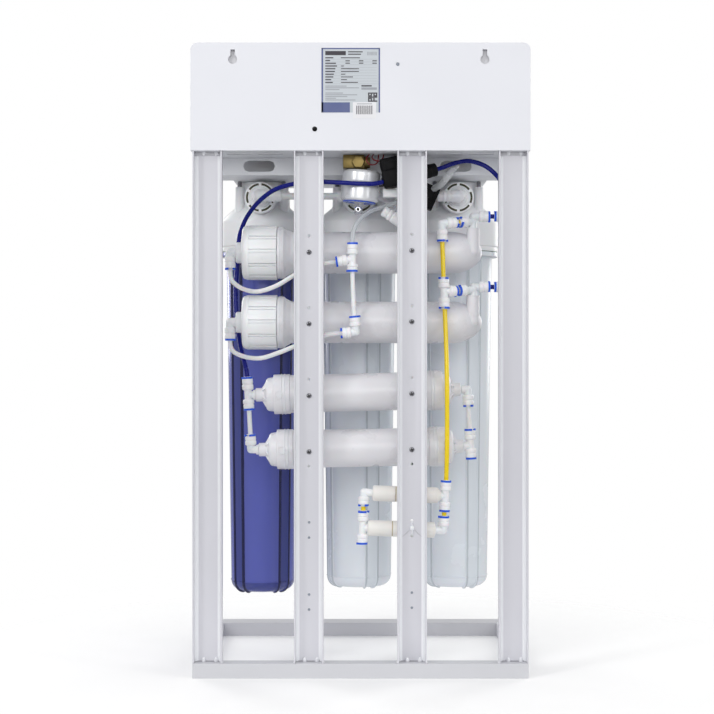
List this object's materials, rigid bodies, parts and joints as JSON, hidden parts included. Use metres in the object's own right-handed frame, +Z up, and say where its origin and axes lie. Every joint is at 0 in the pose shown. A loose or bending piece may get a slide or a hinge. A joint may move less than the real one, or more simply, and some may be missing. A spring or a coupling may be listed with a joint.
{
  "type": "reverse osmosis unit",
  "caption": "Free-standing reverse osmosis unit: steel stand, hanging filter housings, membrane housings, inline filters, pump under a sheet-metal hood, and the tubes between them.",
  "frame": {"origin": "middle of the stand on the floor", "axes": "+Z up, -Y towards the service side with the tubes and keyholed panel, +X to the right when facing that side"},
  "size_m": [0.46, 0.385, 0.86],
  "materials": {
    "white_paint": "satin powder coat",
    "white_plastic": "moulded white plastic",
    "blue_bowl": "translucent blue plastic",
    "seal_rubber": "matt",
    "filter_media": "matt wound or pressed medium",
    "red_plastic": "moulded red plastic",
    "cream_plastic": "moulded cream plastic",
    "motor_steel": "drawn steel",
    "black_plastic": "moulded black plastic",
    "can_metal": "glossy light grey",
    "brass": "machined brass",
    "blue_tube": "extruded blue tube",
    "clear_tube": "translucent extruded tube",
    "yellow_plastic": "yellow tube and white fittings"
  },
  "bodies": {
    "root": {"back_panel": "white_paint", "base_rail_front": "white_paint", "base_rail_left": "white_paint", "base_rail_rear": "white_paint", "base_rail_right": "white_paint", "brass_manifold": "brass", "cap_elbow_1": "white_plastic", "cap_elbow_2": "white_plastic", "cap_tube_1": "white_plastic", "cap_tube_2": "white_plastic", "drain_line": "yellow_plastic", "equipment_shelf": "white_paint", "feed_tube": "blue_tube", "filter_head_1": "white_plastic", "filter_head_2": "white_plastic", "filter_head_3": "white_plastic", "flow_restrictor_1": "cream_plastic", "flow_restrictor_2": "cream_plastic", "hanging_tray": "white_paint", "head_link_1_2": "white_plastic", "head_link_2_3": "white_plastic", "inline_filter_1": "white_plastic", "inline_filter_2": "white_plastic", "inline_run_left": "white_plastic", "inline_run_right": "white_plastic", "membrane_cap_1": "white_plastic", "membrane_cap_2": "white_plastic", "membrane_element_1": "filter_media", "membrane_element_2": "filter_media", "membrane_feed_run": "white_plastic", "membrane_feed_tube": "blue_tube", "membrane_housing_1": "white_plastic", "membrane_housing_2": "white_plastic", "outlet_tube": "clear_tube", "permeate_joiner": "white_plastic", "pressure_can": "can_metal", "pump_feed_line": "black_plastic", "pump_head": "black_plastic", "pump_motor": "motor_steel", "restrictor_manifold_left": "white_plastic", "solenoid_valve": "black_plastic", "stile_inner_left": "white_paint", "stile_inner_right": "white_paint", "stile_outer_left": "white_paint", "stile_outer_right": "white_paint", "top_hood": "white_paint", "transformer": "black_plastic"},
    "cartridge_1": {"filter_cartridge_1": "filter_media"},
    "bowl_1": {"filter_bowl_1": "blue_bowl", "bowl_seal_1": "seal_rubber"},
    "button_1": {"vent_button_1": "red_plastic"},
    "cartridge_2": {"filter_cartridge_2": "filter_media"},
    "bowl_2": {"filter_bowl_2": "white_plastic", "bowl_seal_2": "seal_rubber"},
    "button_2": {"vent_button_2": "red_plastic"},
    "cartridge_3": {"filter_cartridge_3": "filter_media"},
    "bowl_3": {"filter_bowl_3": "white_plastic", "bowl_seal_3": "seal_rubber"},
    "button_3": {"vent_button_3": "red_plastic"},
    "pump_rotor": {"pump_rotor": "motor_steel"}
  },
  "joints": [
    {"name": "bowl_1_drop", "type": "slide", "parent": "root", "child": "cartridge_1", "axis": [0, 0, -1], "range_m": [0, 0.0126]},
    {"name": "bowl_1_turn", "type": "hinge", "parent": "cartridge_1", "child": "bowl_1", "pos_m": [-0.143, 0.0025, 0.6], "axis": [0, 0, -1], "range_deg": [0, 1125]},
    {"name": "vent_button_1_press", "type": "slide", "parent": "root", "child": "button_1", "axis": [0, 0, -1], "range_m": [0, 0.0025], "stiffness_N_per_m": 400},
    {"name": "bowl_2_drop", "type": "slide", "parent": "root", "child": "cartridge_2", "axis": [0, 0, -1], "range_m": [0, 0.0126]},
    {"name": "bowl_2_turn", "type": "hinge", "parent": "cartridge_2", "child": "bowl_2", "pos_m": [-0.0015, 0.0025, 0.6], "axis": [0, 0, -1], "range_deg": [0, 1125]},
    {"name": "vent_button_2_press", "type": "slide", "parent": "root", "child": "button_2", "axis": [0, 0, -1], "range_m": [0, 0.0025], "stiffness_N_per_m": 400},
    {"name": "bowl_3_drop", "type": "slide", "parent": "root", "child": "cartridge_3", "axis": [0, 0, -1], "range_m": [0, 0.0126]},
    {"name": "bowl_3_turn", "type": "hinge", "parent": "cartridge_3", "child": "bowl_3", "pos_m": [0.14, 0.0025, 0.6], "axis": [0, 0, -1], "range_deg": [0, 1125]},
    {"name": "vent_button_3_press", "type": "slide", "parent": "root", "child": "button_3", "axis": [0, 0, -1], "range_m": [0, 0.0025], "stiffness_N_per_m": 400},
    {"name": "pump_rotor_spin", "type": "hinge", "parent": "root", "child": "pump_rotor", "pos_m": [0, 0.01, 0.768], "axis": [1, 0, 0], "continuous": true}
  ],
  "couplings": [
    {"joint": "bowl_1_drop", "follows": "bowl_1_turn", "m_per_rad": 0.00063662},
    {"joint": "bowl_2_drop", "follows": "bowl_2_turn", "m_per_rad": 0.00063662},
    {"joint": "bowl_3_drop", "follows": "bowl_3_turn", "m_per_rad": 0.00063662}
  ]
}
